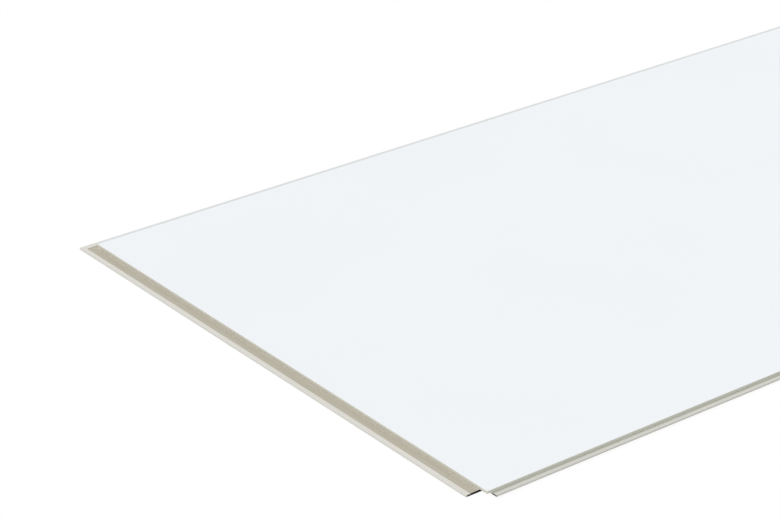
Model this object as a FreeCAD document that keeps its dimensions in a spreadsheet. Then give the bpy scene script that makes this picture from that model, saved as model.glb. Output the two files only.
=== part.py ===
import FreeCAD, Part
import os

import Sketcher
from FreeCAD import Vector

# A rigid wall board that locks to its neighbours on all four edges.
# X runs along the board, Y across it and Z up through its thickness.
# The origin is the centre of the visible face, taken down to the underside.
# Two edges carry tongues: the long edge at -Y and the short edge at +X.
# Two edges carry grooves over a long lower lip: the long edge at +Y and the short edge at -X.

# Driving sizes in millimetres: name, value, meaning
DRIVING_SIZES = [
    ("face_length", 900, "visible face along X"),
    ("face_width", 450, "visible face along Y"),
    ("board_depth", 4.5, "underside up to the face"),
    ("upper_lip", 1.8, "face down to the roof of the groove"),
    ("lower_lip", 1.2, "underside up to the floor of the groove"),
    ("long_tongue_reach", 4.7, "tongue out of the long edge"),
    ("short_tongue_reach", 3.4, "tongue out of the short edge"),
    ("nose_arris", 0.3, "slope on both arrises of the tongue's nose"),
    ("tongue_relief_width", 1.7, "sealant recess on top of the tongue, at its root"),
    ("tongue_relief_depth", 0.35, "depth of that recess"),
    ("long_lip_reach", 7.9, "lower lip out past the face on the long edge"),
    ("short_lip_reach", 10.3, "lower lip out past the face on the short edge"),
    ("long_channel", 2.6, "open channel between the face and the rim on the long edge"),
    ("short_channel", 6.4, "open channel between the face and the rim on the short edge"),
    ("rim_rise", 0.35, "rim above the groove's floor, out to the lip's free edge"),
    ("rim_slope", 0.3, "run of the rim's inner slope"),
    ("lip_arris", 0.25, "slope on the lip's outer arrises"),
    ("groove_corner", 0.3, "slope in the groove's inner corners"),
    ("face_arris", 0.25, "slope round the visible face"),
    ("fit_clearance", 0.1, "play above and below the tongue"),
    ("nose_clearance", 0.4, "play in front of the tongue's nose"),
    ("lip_clearance", 0.5, "play round the neighbour's lip and rim"),
    ("root_overlap", 1.0, "how far a tongue or lip is rooted in the board"),
]

# Planes of the locking profile, all worked out from the sheet
UNDERSIDE = "0"
FLOOR = "sizes.lower_lip"
ROOF = "(sizes.board_depth - sizes.upper_lip)"
TONGUE_FOOT = "(sizes.lower_lip + sizes.fit_clearance)"
TONGUE_TOP = "(sizes.board_depth - sizes.upper_lip - sizes.fit_clearance)"
TONGUE_RELIEF = "(sizes.board_depth - sizes.upper_lip - sizes.fit_clearance - sizes.tongue_relief_depth)"
RIM_TOP = "(sizes.lower_lip + sizes.rim_rise)"
POCKET_ROOF = "(sizes.lower_lip + sizes.rim_rise + sizes.lip_clearance)"

# Slopes on thin walls: two of them leave at least a third of the wall standing between them
WALL_PARTS = 3
NOSE_ARRIS = f"min(sizes.nose_arris; ({TONGUE_TOP} - {TONGUE_FOOT}) / {WALL_PARTS})"
LIP_ARRIS = f"min(sizes.lip_arris; {RIM_TOP} / {WALL_PARTS})"
GROOVE_CORNER = f"min(sizes.groove_corner; ({ROOF} - {FLOOR}) / {WALL_PARTS})"

# Joint planes, where the visible faces of two boards meet
HALF_LENGTH = "(sizes.face_length / 2)"
HALF_WIDTH = "(sizes.face_width / 2)"

# How far each cut runs in behind its joint plane
LONG_GROOVE = "(sizes.long_tongue_reach + sizes.nose_clearance)"
SHORT_GROOVE = "(sizes.short_tongue_reach + sizes.nose_clearance)"
LONG_UNDERCUT = "(sizes.long_lip_reach + sizes.lip_clearance)"
SHORT_UNDERCUT = "(sizes.short_lip_reach + sizes.lip_clearance)"

LEAST_CUT = 1.0     # mm3, a cut that takes less has missed the board
SAME_PLACE = 1e-4   # mm, two places closer than this are one

doc = FreeCAD.newDocument("tongue_and_groove_board")


def fill_sheet():
    """One row for each driving size: its meaning, its value under an alias"""
    sheet = doc.addObject("Spreadsheet::Sheet", "sizes")
    for row, (alias, value, meaning) in enumerate(DRIVING_SIZES, start=1):
        sheet.set(f"A{row}", meaning)
        sheet.set(f"B{row}", str(value))
        sheet.setAlias(f"B{row}", alias)
    doc.recompute()
    return sheet


def origin_plane(body, role):
    """The body's own origin plane of that role"""
    return [plane for plane in body.Origin.OriginFeatures if plane.Role == role][0]


def outline_sketch(body, name, role, station, outline):
    """A closed outline with each corner tied to the sheet, on a plane moved along its normal"""
    sketch = body.newObject("Sketcher::SketchObject", name)
    sketch.AttachmentSupport = [(origin_plane(body, role), "")]
    sketch.MapMode = "FlatFace"
    sketch.setExpression("AttachmentOffset.Base.z", station)
    places = [[float(sketch.evalExpression(formula)) for formula in corner] for corner in outline]
    corners = [Vector(across, up, 0) for across, up in places]
    count = len(corners)
    for side in range(count):
        sketch.addGeometry(Part.LineSegment(corners[side], corners[(side + 1) % count]), False)
    for side in range(count):
        sketch.addConstraint(Sketcher.Constraint("Coincident", side, 2, (side + 1) % count, 1))
    for side, formulas in enumerate(outline):
        for direction, place, formula in zip(("DistanceX", "DistanceY"), places[side], formulas):
            index = sketch.addConstraint(Sketcher.Constraint(direction, side, 1, place))
            sketch.setExpression(f"Constraints[{index}]", formula)
    return sketch


def rectangle(left, bottom, right, top):
    """Corners of an upright rectangle, anticlockwise"""
    return [(left, bottom), (right, bottom), (right, top), (left, top)]


def mirrored(outline):
    """The same outline on the other side of the plane's upright axis"""
    return [(f"-({across})", up) for across, up in reversed(outline)]


def add_run(body, name, sketch, run):
    """Carries a section along its edge and joins it to the board"""
    pad = body.newObject("PartDesign::Pad", name)
    pad.Profile = sketch
    pad.setExpression("Length", run)
    doc.recompute()
    return pad


def cut_run(body, name, sketch, run):
    """Mills a section away along its edge, against the sketch's normal"""
    before = body.Shape.Volume
    pocket = body.newObject("PartDesign::Pocket", name)
    pocket.Profile = sketch
    pocket.setExpression("Length", run)
    doc.recompute()
    if before - body.Shape.Volume < LEAST_CUT:
        raise RuntimeError(f"{name} removes nothing")
    return pocket


def tongue_outline(joint_plane, reach):
    """Tongue with a sealant recess at its root, seen with its nose to the right"""
    root = f"({joint_plane} - sizes.root_overlap)"
    nose = f"({joint_plane} + {reach})"
    relief_end = f"({joint_plane} + sizes.tongue_relief_width)"
    return [
        (root, TONGUE_FOOT),
        (nose, TONGUE_FOOT),
        (nose, TONGUE_TOP),
        (relief_end, TONGUE_TOP),
        (relief_end, TONGUE_RELIEF),
        (root, TONGUE_RELIEF),
    ]


def lip_outline(joint_plane, reach, channel):
    """Lower lip with a raised rim along its free edge, seen with that edge to the right"""
    root = f"({joint_plane} - sizes.root_overlap)"
    edge = f"({joint_plane} + {reach})"
    rim_foot = f"({joint_plane} + {channel})"
    return [
        (root, UNDERSIDE),
        (edge, UNDERSIDE),
        (edge, RIM_TOP),
        (f"({rim_foot} + sizes.rim_slope)", RIM_TOP),
        (rim_foot, FLOOR),
        (root, FLOOR),
    ]


def groove_outline(joint_plane, bottom):
    """Groove between the two lips, open to the right, with sloped inner corners"""
    inner = f"({joint_plane} - {bottom})"
    slope_end = f"({inner} + {GROOVE_CORNER})"
    return [
        (slope_end, FLOOR),
        (joint_plane, FLOOR),
        (joint_plane, ROOF),
        (slope_end, ROOF),
        (inner, f"({ROOF} - {GROOVE_CORNER})"),
        (inner, f"({FLOOR} + {GROOVE_CORNER})"),
    ]


def undercut_outline(joint_plane, undercut, channel):
    """Space under a tongue for the neighbour's lip, with a deeper pocket for its rim, open to the right"""
    back = f"({joint_plane} - {undercut})"
    rim_side = f"({joint_plane} - {channel} + sizes.lip_clearance)"
    return [
        (back, UNDERSIDE),
        (joint_plane, UNDERSIDE),
        (joint_plane, TONGUE_FOOT),
        (rim_side, TONGUE_FOOT),
        (f"({rim_side} - sizes.rim_slope)", POCKET_ROOF),
        (back, POCKET_ROOF),
    ]


def add_face_slab(body):
    """The board's full thickness under the visible face"""
    outline = rectangle(f"-{HALF_LENGTH}", f"-{HALF_WIDTH}", HALF_LENGTH, HALF_WIDTH)
    sketch = outline_sketch(body, "face_outline", "XY_Plane", "0", outline)
    add_run(body, "face_slab", sketch, "sizes.board_depth")


def add_lips(body):
    """Lower lips at +Y and -X, whose rims meet round the corner that they share"""
    outer_x = f"({HALF_LENGTH} + sizes.short_lip_reach)"
    long_lip = outline_sketch(body, "long_lip_section", "YZ_Plane", f"-{outer_x}",
                              lip_outline(HALF_WIDTH, "sizes.long_lip_reach", "sizes.long_channel"))
    add_run(body, "long_lip", long_lip, f"{outer_x} + {HALF_LENGTH} - {SHORT_UNDERCUT}")
    outer_y = f"({HALF_WIDTH} + sizes.long_lip_reach)"
    short_outline = lip_outline(HALF_LENGTH, "sizes.short_lip_reach", "sizes.short_channel")
    short_lip = outline_sketch(body, "short_lip_section", "XZ_Plane", f"-{outer_y}", mirrored(short_outline))
    add_run(body, "short_lip", short_lip, f"{outer_y} + {HALF_WIDTH} - {LONG_UNDERCUT}")


def add_tongues(body):
    """Tongues at -Y and +X, which meet in a square at the corner that they share"""
    long_tongue = outline_sketch(body, "long_tongue_section", "YZ_Plane", f"-{HALF_LENGTH}",
                                 mirrored(tongue_outline(HALF_WIDTH, "sizes.long_tongue_reach")))
    add_run(body, "long_tongue", long_tongue, f"2 * {HALF_LENGTH} + sizes.short_tongue_reach")
    short_tongue = outline_sketch(body, "short_tongue_section", "XZ_Plane", f"-{HALF_WIDTH}",
                                  tongue_outline(HALF_LENGTH, "sizes.short_tongue_reach"))
    add_run(body, "short_tongue", short_tongue, f"2 * {HALF_WIDTH} + sizes.long_tongue_reach")


def cut_grooves(body):
    """Grooves above the lips, run out through the tongue at one end and up to the rim at the other"""
    far_x = f"({HALF_LENGTH} + sizes.short_tongue_reach)"
    long_groove = outline_sketch(body, "long_groove_section", "YZ_Plane", far_x,
                                 groove_outline(HALF_WIDTH, LONG_GROOVE))
    cut_run(body, "long_groove", long_groove, f"{far_x} + {HALF_LENGTH} + sizes.short_channel")
    near_y = f"({HALF_WIDTH} + sizes.long_tongue_reach)"
    short_groove = outline_sketch(body, "short_groove_section", "XZ_Plane", near_y,
                                  mirrored(groove_outline(HALF_LENGTH, SHORT_GROOVE)))
    cut_run(body, "short_groove", short_groove, f"{near_y} + {HALF_WIDTH} + sizes.long_channel")


def cut_undersides(body):
    """Room under the tongues for the neighbouring boards' lips and rims"""
    long_outline = mirrored(undercut_outline(HALF_WIDTH, LONG_UNDERCUT, "sizes.long_channel"))
    long_undercut = outline_sketch(body, "long_undercut_section", "YZ_Plane", HALF_LENGTH, long_outline)
    cut_run(body, "long_undercut", long_undercut, f"2 * {HALF_LENGTH}")
    short_outline = undercut_outline(HALF_LENGTH, SHORT_UNDERCUT, "sizes.short_channel")
    short_undercut = outline_sketch(body, "short_undercut_section", "XZ_Plane", HALF_WIDTH, short_outline)
    cut_run(body, "short_undercut", short_undercut, f"2 * {HALF_WIDTH}")


def lies_at(edge, axis, place):
    """True where both ends of an edge have that coordinate"""
    return all(abs(getattr(vertex.Point, axis) - place) < SAME_PLACE for vertex in edge.Vertexes)


def break_arrises(body, name, size, heights, sides):
    """Slopes the edges that lie at one of the heights and along one of the sides, given as (axis, place)"""
    solid = body.Tip
    levels = [float(solid.evalExpression(formula)) for formula in heights]
    places = [(axis, float(solid.evalExpression(formula))) for axis, formula in sides]
    chosen = []
    for index, edge in enumerate(solid.Shape.Edges, start=1):
        level = any(lies_at(edge, "z", height) for height in levels)
        beside = any(lies_at(edge, axis, place) for axis, place in places)
        if level and beside:
            chosen.append(f"Edge{index}")
    if not chosen:
        raise RuntimeError(f"{name} finds no edge")
    arris = body.newObject("PartDesign::Chamfer", name)
    arris.Base = (solid, chosen)
    arris.setExpression("Size", size)
    doc.recompute()


def break_all_arrises(body):
    """Slopes round the tongues' noses, the lips' free edges and the visible face, mitred at the corners"""
    break_arrises(body, "nose_arris", NOSE_ARRIS, [TONGUE_FOOT, TONGUE_TOP], [
        ("x", f"{HALF_LENGTH} + sizes.short_tongue_reach"),
        ("y", f"-{HALF_WIDTH} - sizes.long_tongue_reach"),
    ])
    break_arrises(body, "lip_arris", LIP_ARRIS, [UNDERSIDE, RIM_TOP], [
        ("x", f"-{HALF_LENGTH} - sizes.short_lip_reach"),
        ("y", f"{HALF_WIDTH} + sizes.long_lip_reach"),
    ])
    break_arrises(body, "face_arris", "sizes.face_arris", ["sizes.board_depth"], [
        ("x", HALF_LENGTH), ("x", f"-{HALF_LENGTH}"),
        ("y", HALF_WIDTH), ("y", f"-{HALF_WIDTH}"),
    ])


def check_and_write(bodies):
    """Writes each solid to its file once nothing in the document has failed"""
    failed = [item.Name for item in doc.Objects if {"Invalid", "Error"} & set(item.State)]
    if failed:
        raise RuntimeError(f"failed features: {failed}")
    os.makedirs("parts", exist_ok=True)
    for body in bodies:
        shape = body.Shape
        if shape.isNull() or not shape.isValid() or len(shape.Solids) != 1:
            raise RuntimeError(f"{body.Label} is not one valid solid")
        shape.exportStep(f"parts/{body.Label}.step")
        box = shape.BoundBox
        print(body.Label, f"{box.XLength:.2f} x {box.YLength:.2f} x {box.ZLength:.2f} mm,",
              f"{shape.Volume / 1000:.1f} cm3,", len(shape.Faces), "faces")


def make_board():
    """The whole board, in the order that it is shaped"""
    body = doc.addObject("PartDesign::Body", "board")
    body.Label = "board"
    add_face_slab(body)
    add_lips(body)
    add_tongues(body)
    cut_grooves(body)
    cut_undersides(body)
    break_all_arrises(body)
    body.Placement = FreeCAD.Placement()
    return body


fill_sheet()
board = make_board()
doc.recompute()
check_and_write([board])
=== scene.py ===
import bpy
import bmesh
import math
import numpy as np
from mathutils import Matrix, Vector


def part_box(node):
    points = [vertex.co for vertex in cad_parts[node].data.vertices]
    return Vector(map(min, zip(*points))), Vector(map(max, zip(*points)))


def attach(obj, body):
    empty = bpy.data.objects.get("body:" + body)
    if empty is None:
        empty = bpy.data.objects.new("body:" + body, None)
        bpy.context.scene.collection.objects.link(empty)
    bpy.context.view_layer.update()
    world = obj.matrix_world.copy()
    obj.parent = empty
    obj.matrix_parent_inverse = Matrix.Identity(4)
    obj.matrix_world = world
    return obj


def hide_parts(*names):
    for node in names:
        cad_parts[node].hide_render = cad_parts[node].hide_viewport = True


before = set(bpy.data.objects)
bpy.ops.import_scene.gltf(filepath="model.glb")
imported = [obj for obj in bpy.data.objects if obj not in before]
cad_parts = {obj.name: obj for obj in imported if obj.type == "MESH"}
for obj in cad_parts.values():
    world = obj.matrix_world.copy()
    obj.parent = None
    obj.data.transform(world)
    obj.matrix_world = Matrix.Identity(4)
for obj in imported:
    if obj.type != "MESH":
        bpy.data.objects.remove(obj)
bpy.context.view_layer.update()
print("frame loaded")

scene = bpy.context.scene
scene.view_settings.view_transform = "Standard"

mm = 0.001  # one millimetre in metres

# The joint's sizes in metres. The board's length, width and depth come from the frame.
boardShape = {
    "longTongue": 4.7 * mm,     # tongue out of the near long edge
    "shortTongue": 3.4 * mm,    # tongue out of the right short edge
    "longLip": 7.9 * mm,        # lower lip past the far long edge
    "shortLip": 10.3 * mm,      # lower lip past the left short edge
    "longChannel": 2.6 * mm,    # open channel between the face and the rim
    "shortChannel": 6.4 * mm,
    "rimRise": 0.35 * mm,
    "rimSlope": 0.3 * mm,       # run of the rim's inner slope
    "upperLip": 1.8 * mm,
    "lowerLip": 1.2 * mm,
    "tonguePlay": 0.1 * mm,     # above and below the tongue
    "nosePlay": 0.4 * mm,       # from the tongue's nose to the groove's bottom
    "lipPlay": 0.5 * mm,        # round the neighbour's lip and rim
    "sealantWidth": 1.7 * mm,   # recess on the tongue, at its root
    "sealantDepth": 0.35 * mm,
    "mouthWidth": 1.6 * mm,     # strip of the channel's floor next to the groove, painted paler to offset the upper lip's shade
    "endShadowStrip": 0.6 * mm,        # strip of the channel's floor by the lips' cut ends, painted near black as shadow
    "cleanEdge": 1.2 * mm,      # the painted end shadow stops this far from the lip's free edge
    "filmTrim": 0.3 * mm,       # milling takes the white film off this far from the face's edges
    "outerArris": 0.25 * mm,    # rounding of the face's, noses' and lips' outer edges
    "innerArris": 0.1 * mm,     # rounding of the other edges
    "arrisSteps": 3,
    "sharpDegrees": 30,         # edges that turn more than this are rounded
    "flatDegrees": 0.5,         # faces that turn less than this are joined
    "touch": 0.02 * mm,         # two places closer than this are one
    "mapStrip": 8 * mm,         # least width that a thin strip gets on the baked picture
    "mapGap": 8 * mm,           # between two parts of that picture
    "hiddenSpan": 250 * mm,     # most width that a gap gets there on the underside and in the groove
}


def boardLines(shape, low, high):
    # every place where the section or a finish changes, from left to right, near to far and bottom to top
    left, right = low.x + shape["shortLip"], high.x - shape["shortTongue"]
    near, far = low.y + shape["longTongue"], high.y - shape["longLip"]
    floor, roof = shape["lowerLip"], high.z - shape["upperLip"]
    top = roof - shape["tonguePlay"]
    across = {
        "lipEdge": low.x,
        "cleanEdge": low.x + shape["cleanEdge"],
        "rimFoot": left - shape["shortChannel"],
        "mouth": left - shape["mouthWidth"],
        "left": left,
        "filmStart": left + shape["filmTrim"],
        "grooveEnd": left + shape["shortTongue"] + shape["nosePlay"],
        "endShadowStrip": right - shape["shortLip"] - shape["lipPlay"] - shape["endShadowStrip"],
        "undercut": right - shape["shortLip"] - shape["lipPlay"],
        "rimPocket": right - shape["shortChannel"] + shape["lipPlay"],
        "filmEnd": right - shape["filmTrim"],
        "right": right,
        "sealant": right + shape["sealantWidth"],
        "nose": high.x,
    }
    deep = {
        "nose": low.y,
        "sealant": near - shape["sealantWidth"],
        "near": near,
        "filmStart": near + shape["filmTrim"],
        "rimPocket": near + shape["longChannel"] - shape["lipPlay"],
        "undercut": near + shape["longLip"] + shape["lipPlay"],
        "endShadowStrip": near + shape["longLip"] + shape["lipPlay"] + shape["endShadowStrip"],
        "grooveEnd": far - shape["longTongue"] - shape["nosePlay"],
        "filmEnd": far - shape["filmTrim"],
        "far": far,
        "mouth": far + shape["mouthWidth"],
        "rimFoot": far + shape["longChannel"],
        "cleanEdge": high.y - shape["cleanEdge"],
        "lipEdge": high.y,
    }
    tall = {
        "back": low.z,
        "floor": floor,
        "tongueFoot": floor + shape["tonguePlay"],
        "rimTop": floor + shape["rimRise"],
        "pocketRoof": floor + shape["rimRise"] + shape["lipPlay"],
        "sealant": top - shape["sealantDepth"],
        "tongueTop": top,
        "roof": roof,
        "face": high.z,
    }
    return across, deep, tall


def centres(lines):
    # middle of each gap between neighbouring lines
    values = np.array(list(lines.values()))
    return (values[:-1] + values[1:]) / 2


def between(values, lines, start, end):
    # true where a value lies past the first named line and before the second
    return (values > lines[start]) & (values < lines[end])


def solidCells(across, deep, tall):
    # a cell is solid where its middle is in the slab, a lip, a rim or a tongue, and in no groove or undercut
    x, y, z = np.meshgrid(centres(across), centres(deep), centres(tall), indexing="ij")
    inFace = between(x, across, "left", "right") & between(y, deep, "near", "far")
    onRim = (x < across["rimFoot"]) | (y > deep["rimFoot"])
    lipTop = np.where(onRim, tall["rimTop"], tall["floor"])
    inLip = (x < across["undercut"]) & (y > deep["undercut"]) & ~inFace & (z < lipTop)
    nearTongue = (x > across["grooveEnd"]) & (y < deep["near"])
    rightTongue = (x > across["right"]) & (y < deep["grooveEnd"])
    pastSealant = (x > across["sealant"]) | (y < deep["sealant"])
    tongueTop = np.where(pastSealant, tall["tongueTop"], tall["sealant"])
    inTongue = (nearTongue | rightTongue) & (z > tall["tongueFoot"]) & (z < tongueTop)
    inGroove = ((x < across["grooveEnd"]) | (y > deep["grooveEnd"])) & between(z, tall, "floor", "roof")
    underTongue = (x > across["undercut"]) | (y < deep["undercut"])
    inPocket = between(x, across, "undercut", "rimPocket") | between(y, deep, "rimPocket", "undercut")
    milledBelow = underTongue & ((z < tall["tongueFoot"]) | (inPocket & (z < tall["pocketRoof"])))
    return (inFace & ~inGroove & ~milledBelow) | inLip | inTongue


def shellOfCells(solid):
    # a face lies wherever a solid cell meets an empty one, wound so that it looks to the empty side
    padded = np.pad(solid, 1).astype(np.int8)
    steps = np.eye(3, dtype=int)
    faces, facing = [], []
    for axis in range(3):
        change = np.diff(padded, axis=axis)
        firstSide, secondSide = steps[(axis + 1) % 3], steps[(axis + 2) % 3]
        square = np.array([0 * firstSide, firstSide, firstSide + secondSide, secondSide])
        for sign in (1, -1):
            base = np.argwhere(change == -sign) - 1 + steps[axis]
            ring = base[:, None] + square
            faces.append(ring if sign > 0 else ring[:, ::-1])
            facing.append(np.tile(sign * steps[axis], (len(base), 1)))
    return np.concatenate(faces), np.concatenate(facing)


def boardCorners(places, shape, across, deep, tall):
    # each grid place becomes a point; one on a rim's or a pocket's slope steps aside by the slope's run
    # times its share of the slope's height
    xs, ys, zs = (np.array(list(lines.values())) for lines in (across, deep, tall))
    points = np.stack([xs[places[:, 0]], ys[places[:, 1]], zs[places[:, 2]]], axis=1)
    height = points[:, 2]
    for line, foot, top in (("rimFoot", "floor", "rimTop"), ("rimPocket", "tongueFoot", "pocketRoof")):
        rise = np.clip((height - tall[foot]) / (tall[top] - tall[foot]), 0, 1) * (height <= tall[top])
        points[:, 0] -= shape["rimSlope"] * rise * (places[:, 0] == list(across).index(line))
        points[:, 1] += shape["rimSlope"] * rise * (places[:, 1] == list(deep).index(line))
    return points


finishes = ["faceFilm", "milledCore", "mouthCorePaintedLight", "sideCore", "grooveCorePaintedLight", "recessSidePaintedLight", "recessFloorPaintedShade",
            "trimmedTongue", "trimmedSidePaintedShade", "pressedRim", "farRim", "endPaintedShadow", "tongueEndPaintedShade", "plainBack"]


def liesInGroove(middles, touch, across, deep, tall):
    # true under the white face, from the lower lip's top to the upper lip's underside
    x, y, z = middles.T
    inFace = between(x, across, "left", "right") & between(y, deep, "near", "far")
    return inFace & (z > tall["floor"] - touch) & (z < tall["roof"] + touch)


def finishOfFaces(middles, facing, inGroove, touch, across, deep, tall):
    # the finish follows from where a face lies and which way it looks
    x, y, z = middles.T
    up, down, upright = facing[:, 2] > 0, facing[:, 2] < 0, facing[:, 2] == 0
    onRim = up & (z > tall["floor"] + touch) & (z < tall["pocketRoof"])
    tongueSide = (x > across["right"] - touch) | (y < deep["near"] + touch)
    onTongue = up & tongueSide & (z > tall["sealant"] + touch) & (z < tall["roof"])
    outerSide = upright & ((x < across["lipEdge"] + touch) | (y > deep["lipEdge"] - touch)
                           | (x > across["nose"] - touch) | (y < deep["nose"] + touch))
    lipEnd = (((x < across["grooveEnd"]) & (y < deep["endShadowStrip"]) & (y > deep["undercut"] - touch))
              | ((y > deep["grooveEnd"]) & (x > across["endShadowStrip"]) & (x < across["undercut"] + touch)))
    # painted shadow: the lips' cut ends, and the strip of the channel's floor by them, get the near black
    # finish
    endShadowFaces = (lipEnd & (z < tall["floor"] + touch) & ~down
               & (x > across["cleanEdge"]) & (y < deep["cleanEdge"]))
    # painted shade: the tongues' cut ends get a dark finish
    tongueEndPaintedShade = (((facing[:, 0] < 0) & (y < deep["near"]) & (x < across["grooveEnd"] + touch))
                 | ((facing[:, 1] > 0) & (x > across["right"]) & (y > deep["grooveEnd"] - touch)))
    # painted light: the strip of the channel's floor by the groove's mouth
    byMouth = up & (z < tall["floor"] + touch) & (x > across["mouth"]) & (y < deep["mouth"])
    onTop = z > tall["face"] - touch
    underFilm = between(x, across, "filmStart", "filmEnd") & between(y, deep, "filmStart", "filmEnd")
    # where two of these overlap, the later one holds
    chosen = {
        "mouthCorePaintedLight": byMouth,
        "sideCore": (upright & (z > tall["roof"])) | onTop,
        # painted light: the grooves' insides are made pale against their shade
        "grooveCorePaintedLight": inGroove,
        # painted light on the sides over the tongues, painted shade on the recess's floor
        "recessSidePaintedLight": upright & tongueSide & (z > tall["sealant"]),
        "recessFloorPaintedShade": up & tongueSide & (z < tall["sealant"] + touch),
        "trimmedTongue": onTongue,
        # painted shade: upright outer sides and lip ends darker than the tops
        "trimmedSidePaintedShade": outerSide | (lipEnd & upright),
        "pressedRim": onRim,
        "farRim": onRim & (x > across["grooveEnd"]),
        "endPaintedShadow": endShadowFaces,
        "tongueEndPaintedShade": tongueEndPaintedShade,
        "plainBack": down & (z < tall["back"] + touch),
        "faceFilm": onTop & underFilm,
    }
    finish = np.full(len(middles), finishes.index("milledCore"))
    for name, where in chosen.items():
        finish[where] = finishes.index(name)
    return finish


def runCoordinates(points, middles, facing, across, deep):
    # first coordinate runs along the edge that a face belongs to; second goes round the section, as the
    # place across that edge plus the height
    x, y, z = np.moveaxis(points, -1, 0)
    shortEdge = (middles[:, 0] < across["grooveEnd"]) | (middles[:, 0] > across["undercut"])
    longEdge = (middles[:, 1] < deep["undercut"]) | (middles[:, 1] > deep["grooveEnd"])
    alongY = (shortEdge & ~longEdge)[:, None] | (facing[:, 0] != 0)[:, None]
    along = np.where(alongY, y, x)
    roundSection = np.where(alongY, x, y) + z
    return np.stack([along, roundSection], axis=-1)


def roomyPlaces(corners, lines, least, most):
    # a corner's place is the running total of the gaps before it, with each gap held between two widths
    gaps = [np.clip(np.diff(list(side.values())), least, most) for side in lines]
    totals = [np.concatenate([[0.0], np.cumsum(gap)]) for gap in gaps]
    return np.stack([total[corners[..., axis]] for axis, total in enumerate(totals)], axis=-1)


def bakeCoordinates(corners, facing, inGroove, shape, *lines):
    # the board unfolded in rows for a baked picture, where thin strips get more room than in metres:
    # first the top as a plan, then side by side the plans of the underside and of the groove's floor and
    # roof, then a strip for each upright plane
    axis = np.abs(facing).argmax(axis=1)
    upright, down = axis < 2, facing[:, 2] < 0
    hidden = ~upright & (inGroove | down)
    full = roomyPlaces(corners, lines, shape["mapStrip"], np.inf)
    short = roomyPlaces(corners, lines, shape["mapStrip"], shape["hiddenSpan"])
    place = np.where(hidden[:, None, None], short, full)
    along = np.where((axis == 0)[:, None], place[..., 1], place[..., 0])
    upwards = np.where(upright[:, None], place[..., 2], place[..., 1])
    column = np.where(hidden & inGroove, 1 + down, 0)
    along = along + (column * (short[..., 0].max() + shape["mapGap"]))[:, None]

    # faces of one kind share a row, and a row starts one gap above the top of the last
    plane = corners[np.arange(len(corners)), 0, axis]
    sign = facing.sum(axis=1)
    kind = np.stack([np.where(upright, 2 + axis, hidden), upright * sign, upright * plane], axis=1)
    row = np.unique(kind, axis=0, return_inverse=True)[1].ravel()
    low, high = np.full(row.max() + 1, np.inf), np.zeros(row.max() + 1)
    np.minimum.at(low, row, upwards.min(axis=1))
    np.maximum.at(high, row, upwards.max(axis=1))
    tops = np.cumsum(high - low + shape["mapGap"])
    upwards = upwards + (tops - high)[row][:, None]
    return np.stack([along / along.max(), upwards / (tops[-1] + shape["mapGap"])], axis=-1)


def readArray(items, name, kind, width):
    # one property of every item, a row for each
    values = np.zeros(len(items) * width, kind)
    items.foreach_get(name, values)
    return values.reshape(-1, width)


def turnOfEdges(mesh):
    # angle between the two faces of each edge, from the dot product of their normals
    loopTotals = readArray(mesh.polygons, "loop_total", np.int32, 1).ravel()
    faceOfLoop = np.repeat(np.arange(len(mesh.polygons)), loopTotals)
    byEdge = np.argsort(readArray(mesh.loops, "edge_index", np.int32, 1).ravel(), kind="stable")
    pairs = faceOfLoop[byEdge].reshape(-1, 2)
    normals = readArray(mesh.polygons, "normal", np.float32, 3)
    return np.arccos(np.clip((normals[pairs[:, 0]] * normals[pairs[:, 1]]).sum(axis=1), -1, 1))


def arrisWeights(mesh, shape, across, deep, tall):
    # 1 on the outer edges, the inner rounding's share on the other sharp ones, 0 where the surface is flat
    ends = readArray(mesh.vertices, "co", np.float32, 3)[readArray(mesh.edges, "vertices", np.int32, 2)]
    low, high = ends.min(axis=1), ends.max(axis=1)
    touch = shape["touch"]

    def liesAt(axis, place):
        return (np.abs(low[:, axis] - place) < touch) & (np.abs(high[:, axis] - place) < touch)

    noseSide = liesAt(0, across["nose"]) | liesAt(1, deep["nose"])
    lipSide = liesAt(0, across["lipEdge"]) | liesAt(1, deep["lipEdge"])
    noses = noseSide & (liesAt(2, tall["tongueFoot"]) | liesAt(2, tall["tongueTop"]))
    lips = lipSide & (liesAt(2, tall["back"]) | liesAt(2, tall["rimTop"]))
    outer = noses | lips | liesAt(2, tall["face"])
    weights = np.where(outer, 1.0, shape["innerArris"] / shape["outerArris"])
    return np.where(turnOfEdges(mesh) > math.radians(shape["sharpDegrees"]), weights, 0.0)


def joinFlatFaces(mesh, degrees):
    # grid cells of one finish that lie in one plane become one face
    work = bmesh.new()
    work.from_mesh(mesh)
    bmesh.ops.dissolve_limit(work, angle_limit=math.radians(degrees), verts=work.verts, edges=work.edges,
                             delimit={"MATERIAL", "UV"})
    work.to_mesh(mesh)
    work.free()


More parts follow.
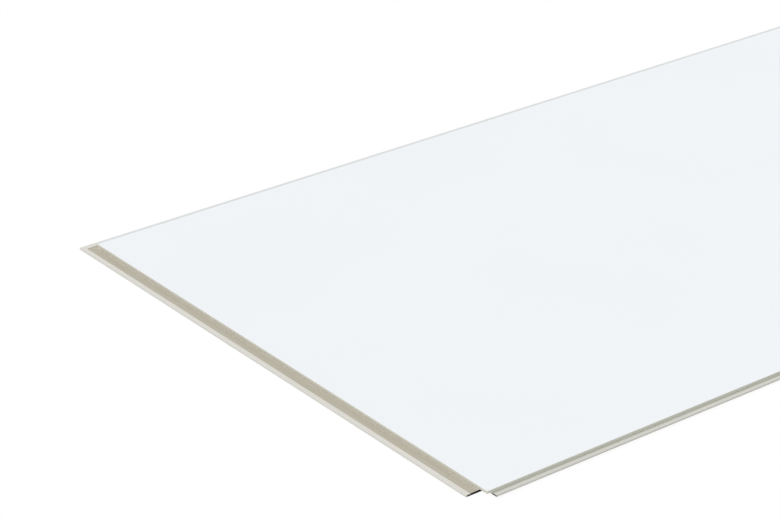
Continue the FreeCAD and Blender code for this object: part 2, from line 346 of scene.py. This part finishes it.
def makeBoard(shape):
    # the shell of the solid cells, with a finish on every face and a rounding on every sharp edge
    low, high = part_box("board")
    lines = boardLines(shape, low, high)
    across, deep = lines[:2]
    rings, facing = shellOfCells(solidCells(*lines))
    places, corner = np.unique(rings.reshape(-1, 3), axis=0, return_inverse=True)
    points = boardCorners(places, shape, *lines)
    rings = corner.reshape(-1, 4)
    middles = points[rings].mean(axis=1)
    inGroove = liesInGroove(middles, shape["touch"], *lines)
    finish = finishOfFaces(middles, facing, inGroove, shape["touch"], *lines)
    mesh = bpy.data.meshes.new("wallBoard")
    mesh.from_pydata(points.tolist(), [], rings.tolist())
    mesh.polygons.foreach_set("material_index", finish.astype(np.int32))
    runs = mesh.uv_layers.new(name="runs")
    runs.data.foreach_set("uv", runCoordinates(points[rings], middles, facing, across, deep).ravel())
    # the export bakes through a map of this name
    picture = mesh.uv_layers.new(name="OFBake")  # a map of the board unfolded for a baked picture
    picture.data.foreach_set("uv", bakeCoordinates(places[rings], facing, inGroove, shape, *lines).ravel())
    joinFlatFaces(mesh, shape["flatDegrees"])
    mesh.uv_layers["runs"].active_render = True
    mesh.polygons.foreach_set("use_smooth", np.ones(len(mesh.polygons), bool))
    weights = mesh.attributes.new("bevel_weight_edge", "FLOAT", "EDGE")
    weights.data.foreach_set("value", arrisWeights(mesh, shape, *lines).astype(np.float32))
    board = bpy.data.objects.new("wallBoard", mesh)
    scene.collection.objects.link(board)
    rounding = board.modifiers.new("arris", "BEVEL")
    rounding.width = shape["outerArris"]
    rounding.segments = shape["arrisSteps"]
    rounding.limit_method = "WEIGHT"
    rounding.harden_normals = True
    return board


def newMaterial(name, roughness):
    # gives the material, its node tree and its shader
    material = bpy.data.materials.new(name)
    material.use_nodes = True
    surface = material.node_tree.nodes["Principled BSDF"]
    surface.inputs["Roughness"].default_value = roughness
    return material, material.node_tree, surface


def addNode(tree, kind, settings=None, **values):
    # settings are the node's own choices, and values go to its sockets by name
    node = tree.nodes.new(kind)
    for name, value in (settings or {}).items():
        setattr(node, name, value)
    for name, value in values.items():
        node.inputs[name].default_value = value
    return node


def stretchedPlace(tree, source, scale=(1, 1, 1)):
    # object or run coordinates, stretched so that a pattern gets the right grain
    coordinates = addNode(tree, "ShaderNodeTexCoord")
    mapping = addNode(tree, "ShaderNodeMapping", Scale=scale)
    tree.links.new(coordinates.outputs[source], mapping.inputs["Vector"])
    return mapping.outputs["Vector"]


def noise(tree, place, scale, detail, roughness=0.5):
    # cloudy pattern between 0 and 1
    node = addNode(tree, "ShaderNodeTexNoise", Scale=scale, Detail=detail, Roughness=roughness)
    tree.links.new(place, node.inputs["Vector"])
    return node.outputs["Fac"]


def shades(tree, amount, span, low, high):
    # a ramp between two colours over part of the pattern's range
    ramp = addNode(tree, "ShaderNodeValToRGB")
    for element, position, colour in zip(ramp.color_ramp.elements, span, (low, high)):
        element.position = position
        element.color = (*colour, 1)
    tree.links.new(amount, ramp.inputs["Fac"])
    return ramp.outputs["Color"]


def withGrain(tree, amount, base, grain):
    # lays one plain colour over the base by the pattern's amount
    node = addNode(tree, "ShaderNodeMix", {"data_type": "RGBA"})
    node.inputs["B"].default_value = (*grain, 1)
    tree.links.new(amount, node.inputs["Factor"])
    tree.links.new(base, node.inputs["A"])
    return node.outputs["Result"]


def remapped(tree, amount, span, low, high):
    # part of the pattern's range becomes the values from low to high
    node = addNode(tree, "ShaderNodeMapRange")
    start, end = span
    for name, value in {"From Min": start, "From Max": end, "To Min": low, "To Max": high}.items():
        node.inputs[name].default_value = value
    tree.links.new(amount, node.inputs["Value"])
    return node.outputs["Result"]


def raised(tree, surface, heights):
    # heights is a list of (pattern, depth in metres); each bump builds on the one before
    normal = None
    for pattern, depth in heights:
        bump = addNode(tree, "ShaderNodeBump", Strength=1.0, Distance=depth)
        tree.links.new(pattern, bump.inputs["Height"])
        if normal is not None:
            tree.links.new(normal, bump.inputs["Normal"])
        normal = bump.outputs["Normal"]
    tree.links.new(normal, surface.inputs["Normal"])


filmLook = {
    "colour": (0.874, 0.903, 0.930),
    "shade": (0.864, 0.894, 0.922),
    "roughness": 0.42,
    "roughSpread": 0.03,        # the pebbles change it by this much either way
    "pebble": 1400,             # pebbles a metre in the satin skin
    "pebbleDetail": 2.0,
    "pebbleSpan": (0.3, 0.7),   # part of the pattern's range that shows
    "pebbleDepth": 0.004 * mm,
    "wave": 7,                  # slow waves a metre, from pressing
    "waveDetail": 1.0,
    "waveSpan": (0.35, 0.65),
    "waveDepth": 0.05 * mm,
}


def faceFilm(look):
    # slow waves in the shade and height of the white skin, and fine pebbles in its gloss and height
    material, tree, surface = newMaterial("faceFilm", look["roughness"])
    place = stretchedPlace(tree, "Object")
    wave = noise(tree, place, look["wave"], look["waveDetail"])
    pebble = noise(tree, place, look["pebble"], look["pebbleDetail"])
    colour = shades(tree, wave, look["waveSpan"], look["shade"], look["colour"])
    tree.links.new(colour, surface.inputs["Base Color"])
    least, most = look["roughness"] - look["roughSpread"], look["roughness"] + look["roughSpread"]
    rough = remapped(tree, pebble, look["pebbleSpan"], least, most)
    tree.links.new(rough, surface.inputs["Roughness"])
    raised(tree, surface, [(wave, look["waveDepth"]), (pebble, look["pebbleDepth"])])
    return material


coreLook = {
    "light": (0.530, 0.500, 0.410),
    "dark": (0.440, 0.415, 0.335),
    "grain": (0.300, 0.280, 0.230),
    "roughness": 0.62,
    "darkRougher": 0.08,        # the dark tool lines are rougher by this
    "lightSmoother": 0.06,      # and the light ones smoother by this
    "mirroring": 0.5,           # 0.5 is a plain plastic's
    "lineAlong": 14,            # tool lines: slow changes along the run
    "lineAcross": 2600,         # and fine ones across it, a metre
    "lineDetail": 3.0,
    "lineSpan": (0.3, 0.7),     # part of the pattern's range that shows
    "lineDepth": 0.02 * mm,
    "fleck": 1900,              # mineral flecks a metre
    "fleckDetail": 2.0,
    "fleckGrit": 0.6,           # strength of their fine detail
    "fleckSpan": (0.60, 0.72),
    "fleckCover": 0.55,         # most of the base colour that a fleck hides
}


def milledCore(look, name):
    # light and dark tool lines along the run, with mineral flecks over them
    material, tree, surface = newMaterial(name, look["roughness"])
    surface.inputs["Specular IOR Level"].default_value = look["mirroring"]
    alongRun = stretchedPlace(tree, "UV", (look["lineAlong"], look["lineAcross"], 1))
    lines = noise(tree, alongRun, 1.0, look["lineDetail"])
    place = stretchedPlace(tree, "Object")
    flecks = noise(tree, place, look["fleck"], look["fleckDetail"], look["fleckGrit"])
    base = shades(tree, lines, look["lineSpan"], look["dark"], look["light"])
    cover = remapped(tree, flecks, look["fleckSpan"], 0.0, look["fleckCover"])
    tree.links.new(withGrain(tree, cover, base, look["grain"]), surface.inputs["Base Color"])
    inDark, inLight = look["roughness"] + look["darkRougher"], look["roughness"] - look["lightSmoother"]
    rough = remapped(tree, lines, look["lineSpan"], inDark, inLight)
    tree.links.new(rough, surface.inputs["Roughness"])
    raised(tree, surface, [(lines, look["lineDepth"])])
    return material


# The other cut and pressed surfaces differ from the channel only in these values
coreVariants = {
    "milledCore": {},
    # the white face's own sides, over the grooves, and the border round it where the film is off
    "sideCore": {"light": (0.590, 0.577, 0.500), "dark": (0.515, 0.502, 0.432),
                 "grain": (0.405, 0.395, 0.333)},
    # painted light: inside the grooves the core is made pale, to offset the shade there
    "grooveCorePaintedLight": {"light": (0.785, 0.755, 0.677), "dark": (0.721, 0.692, 0.618),
                  "grain": (0.568, 0.549, 0.480)},
    # painted light: the channel's floor next to the groove is paler, to offset the upper lip's shade on it
    "mouthCorePaintedLight": {"light": (0.605, 0.572, 0.474), "dark": (0.508, 0.480, 0.392),
                  "grain": (0.345, 0.322, 0.265)},
    # sealant recess on the tongues and the face's side above it: the side is painted paler and cooler, as
    # light on the near side; the recess's floor is painted darker, as shade in it
    "recessSidePaintedLight": {"light": (0.690, 0.697, 0.626), "dark": (0.610, 0.616, 0.553),
                   "grain": (0.475, 0.475, 0.420)},
    "recessFloorPaintedShade": {"light": (0.530, 0.530, 0.470), "dark": (0.475, 0.475, 0.420),
                    "grain": (0.380, 0.380, 0.335)},
    # top of the tongues past the recess
    "trimmedTongue": {"light": (0.665, 0.658, 0.605), "dark": (0.610, 0.603, 0.553),
                      "grain": (0.480, 0.470, 0.425), "lineAlong": 9, "lineDepth": 0.012 * mm},
    # outer sides of noses and lips, painted darker than the tongues' tops as shade on upright faces
    "trimmedSidePaintedShade": {"light": (0.595, 0.588, 0.545), "dark": (0.540, 0.533, 0.492),
                    "grain": (0.480, 0.470, 0.425), "lineAlong": 9, "lineDepth": 0.012 * mm},
    "pressedRim": {"light": (0.740, 0.722, 0.665), "dark": (0.680, 0.662, 0.608),
                   "grain": (0.560, 0.545, 0.495), "roughness": 0.5,
                   "lineAlong": 9, "lineAcross": 1500, "lineDepth": 0.008 * mm},
    # the far rim has a cooler skin
    "farRim": {"light": (0.745, 0.762, 0.768), "dark": (0.697, 0.713, 0.718),
               "grain": (0.600, 0.610, 0.608), "roughness": 0.5,
               "lineAlong": 9, "lineAcross": 1500, "lineDepth": 0.008 * mm},
    # painted shadow: the lips' cut ends and a strip of the channel's floor by them are near black, for the
    # dark gap under them
    "endPaintedShadow": {"light": (0.010, 0.009, 0.008), "dark": (0.004, 0.004, 0.003),
               "grain": (0.025, 0.023, 0.020), "roughness": 0.85, "mirroring": 0.1,
               "lineAlong": 900, "lineAcross": 900, "lineDepth": 0.05 * mm},
    # painted shade: the tongues' cut ends are dark
    "tongueEndPaintedShade": {"light": (0.140, 0.126, 0.118), "dark": (0.095, 0.086, 0.080),
                  "grain": (0.060, 0.055, 0.052), "roughness": 0.7,
                  "lineAlong": 900, "lineAcross": 900, "lineDepth": 0.04 * mm},
    "plainBack": {"light": (0.600, 0.590, 0.550), "dark": (0.560, 0.550, 0.510),
                  "grain": (0.450, 0.440, 0.410), "roughness": 0.6,
                  "lineAlong": 40, "lineAcross": 700, "lineDepth": 0.015 * mm, "fleck": 1200},
}


def dressBoard(board):
    made = {name: milledCore({**coreLook, **changes}, name) for name, changes in coreVariants.items()}
    made["faceFilm"] = faceFilm(filmLook)
    for name in finishes:
        board.data.materials.append(made[name])


wallBoard = makeBoard(boardShape)
dressBoard(wallBoard)
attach(wallBoard, "root")
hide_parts("board")
print("board made")

studio = {
    "floorSize": 14.0,          # metres
    "floorColour": (0.80, 0.80, 0.80),
    "white": (1, 1, 1, 1),      # background, and the light of the world
    "shadowShare": 0.07,        # how much of the real shadow the camera sees on the white floor
    "worldStrength": 0.645,
    "keyStrength": 1.62,        # broad soft light from the left, low enough to reach into the groove
    "keyFrom": (-1.0, 0.12, 0.78),
    "keySpreadDegrees": 35,
    "fillWatts": 11.0,          # for the near side
    "fillSize": 2.4,            # metres
    "fillPlace": (0.4, -3.0, 1.6),
}


def seenDirectly(tree):
    # 1 for rays from the camera and for those mirrored or let through, 0 for the rest
    path = addNode(tree, "ShaderNodeLightPath")
    glossy = addNode(tree, "ShaderNodeMath", {"operation": "MAXIMUM"})
    tree.links.new(path.outputs["Is Camera Ray"], glossy.inputs[0])
    tree.links.new(path.outputs["Is Glossy Ray"], glossy.inputs[1])
    every = addNode(tree, "ShaderNodeMath", {"operation": "MAXIMUM"})
    tree.links.new(glossy.outputs[0], every.inputs[0])
    tree.links.new(path.outputs["Is Transmission Ray"], every.inputs[1])
    return every.outputs[0]


def makeFloor(values):
    # it lights the board as a pale floor, and shows as white with a trace of the shadow
    half = values["floorSize"] / 2
    corners = half * np.array([[-1, -1, 0], [1, -1, 0], [1, 1, 0], [-1, 1, 0]])
    mesh = bpy.data.meshes.new("floor")
    mesh.from_pydata(corners.tolist(), [], [[0, 1, 2, 3]])
    floor = bpy.data.objects.new("floor", mesh)
    scene.collection.objects.link(floor)
    material = bpy.data.materials.new("paleFloor")
    material.use_nodes = True
    tree = material.node_tree
    tree.nodes.clear()
    pale = addNode(tree, "ShaderNodeBsdfDiffuse", Color=(*values["floorColour"], 1))
    lit = addNode(tree, "ShaderNodeBsdfDiffuse", Color=values["white"])
    white = addNode(tree, "ShaderNodeEmission", Color=values["white"], Strength=1.0)
    shown = addNode(tree, "ShaderNodeMixShader", Fac=values["shadowShare"])
    tree.links.new(white.outputs[0], shown.inputs[1])
    tree.links.new(lit.outputs[0], shown.inputs[2])
    choice = addNode(tree, "ShaderNodeMixShader")
    tree.links.new(seenDirectly(tree), choice.inputs[0])
    tree.links.new(pale.outputs[0], choice.inputs[1])
    tree.links.new(shown.outputs[0], choice.inputs[2])
    output = addNode(tree, "ShaderNodeOutputMaterial")
    tree.links.new(choice.outputs[0], output.inputs["Surface"])
    mesh.materials.append(material)


def makeWorld(values):
    # soft light from all round, which the camera sees as plain white
    world = bpy.data.worlds.new("studio")
    scene.world = world
    world.use_nodes = True
    tree = world.node_tree
    tree.nodes.clear()
    light = addNode(tree, "ShaderNodeBackground", Color=values["white"], Strength=values["worldStrength"])
    white = addNode(tree, "ShaderNodeBackground", Color=values["white"], Strength=1.0)
    choice = addNode(tree, "ShaderNodeMixShader")
    tree.links.new(seenDirectly(tree), choice.inputs[0])
    tree.links.new(light.outputs[0], choice.inputs[1])
    tree.links.new(white.outputs[0], choice.inputs[2])
    output = addNode(tree, "ShaderNodeOutputWorld")
    tree.links.new(choice.outputs[0], output.inputs["Surface"])


def aimLamp(holder, source):
    # shines from there at the board; no glare, so the white face keeps its shade from every side
    holder.rotation_euler = (-Vector(source)).to_track_quat("-Z", "Y").to_euler()
    holder.visible_glossy = False
    scene.collection.objects.link(holder)


def makeKey(values):
    # an even light from one side: it doesn't fall off along the board
    lamp = bpy.data.lights.new("keyLamp", "SUN")
    lamp.energy = values["keyStrength"]
    lamp.angle = math.radians(values["keySpreadDegrees"])
    aimLamp(bpy.data.objects.new("keyLamp", lamp), values["keyFrom"])


def makeFill(values):
    # a weak wide lamp in front
    lamp = bpy.data.lights.new("fillLamp", "AREA")
    lamp.shape = "SQUARE"
    lamp.size = values["fillSize"]
    lamp.energy = values["fillWatts"]
    holder = bpy.data.objects.new("fillLamp", lamp)
    holder.location = values["fillPlace"]
    aimLamp(holder, values["fillPlace"])


makeFloor(studio)
makeWorld(studio)
makeKey(studio)
makeFill(studio)
print("studio made")

# The camera stands so that the white face's near corner falls on one pixel of a 780 x 520 picture
cameraView = {
    "pictureSize": (780, 520),
    "sensorWidth": 36.0,
    "lens": 130.48,
    "headingDegrees": 52.057,   # from +X towards +Y
    "pitchDegrees": 26.146,     # downwards
    "distance": 1.77244,        # to the near corner of the white face
    "cornerPixel": (487.208, 491.584),
}


def makeCamera(values):
    # it stands back from the corner along that pixel's ray: the lens's length forward, and the pixel's
    # distance from the picture's middle to the right and upwards
    heading, pitch = math.radians(values["headingDegrees"]), math.radians(values["pitchDegrees"])
    level = math.cos(pitch)
    forward = Vector((math.cos(heading) * level, math.sin(heading) * level, -math.sin(pitch)))
    right = forward.cross(Vector((0, 0, 1))).normalized()
    up = right.cross(forward)
    width, height = values["pictureSize"]
    pixelX, pixelY = values["cornerPixel"]
    pixelSize = values["sensorWidth"] / width
    overRight = (pixelX - width / 2) * pixelSize
    overUp = (height / 2 - pixelY) * pixelSize
    toCorner = (forward * values["lens"] + right * overRight + up * overUp).normalized()
    low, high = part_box("board")
    corner = Vector((low.x + boardShape["shortLip"], low.y + boardShape["longTongue"], high.z))
    data = bpy.data.cameras.new("camera")
    data.sensor_width = values["sensorWidth"]
    data.lens = values["lens"]
    camera = bpy.data.objects.new("camera", data)
    axes = Matrix((right, up, -forward)).transposed()
    camera.matrix_world = Matrix.Translation(corner - toCorner * values["distance"]) @ axes.to_4x4()
    scene.collection.objects.link(camera)
    scene.camera = camera


makeCamera(cameraView)
print("camera made")
